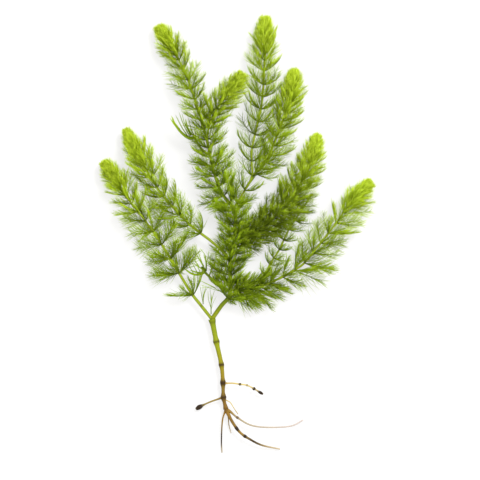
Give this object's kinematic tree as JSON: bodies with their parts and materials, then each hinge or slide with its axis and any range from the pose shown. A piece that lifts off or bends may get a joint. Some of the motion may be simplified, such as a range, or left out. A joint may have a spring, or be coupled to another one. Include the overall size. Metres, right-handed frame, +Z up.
{
  "type": "water milfoil sprig",
  "caption": "Rooted sprig of a hornwort-like water plant, lying flat: forked stems with whorls of comb-shaped leaves and wiry roots.",
  "frame": {"origin": "middle of the sprig's box, on the surface that it lies on", "axes": "+Y from the roots toward the tips of the shoots, +X to the right as seen from above, +Z up from the surface"},
  "size_m": [0.1557, 0.2398, 0.0277],
  "materials": {
    "leaves": "soft satin, translucent green, light yellow-green at the shoot tips",
    "stem": "smooth, moist, yellow-green",
    "main_stem": "smooth, olive turning amber and brown toward the roots, with dark rings",
    "root": "translucent amber with dark brown bands and tips"
  },
  "bodies": {
    "root": {"far_left_leaves": "leaves", "far_left_stem": "stem", "far_left_whorl_1": "leaves", "far_left_whorl_2": "leaves", "far_left_whorl_3": "leaves", "far_right_leaves": "leaves", "far_right_stem": "stem", "far_right_whorl": "leaves", "fork_leaf_left": "leaves", "fork_leaf_middle": "leaves", "fork_leaf_pale": "leaves", "hidden_leaves": "leaves", "hidden_stem": "stem", "inner_left_leaves": "leaves", "inner_left_stem": "stem", "inner_right_leaves": "leaves", "inner_right_stem": "stem", "main_stem": "main_stem", "raised_leaves": "leaves", "raised_stem": "stem", "root_banded": "root", "root_down": "root", "root_left": "root", "root_right": "root", "root_thin": "root", "short_side_leaf": "leaves", "short_side_stem": "stem", "short_side_tuft": "leaves", "small_side_leaves": "leaves", "small_side_stem": "stem", "small_side_whorl": "leaves", "tallest_leaves": "leaves", "tallest_leaves_low": "leaves", "tallest_stem": "stem", "trunk_high": "stem", "trunk_leaves_high": "leaves", "trunk_leaves_low": "leaves", "trunk_low": "stem", "upper_left_leaves": "leaves", "upper_left_leaves_low": "leaves", "upper_left_stem": "stem", "upper_left_whorl": "leaves", "upper_right_leaves": "leaves", "upper_right_stem": "stem"}
  },
  "joints": []
}
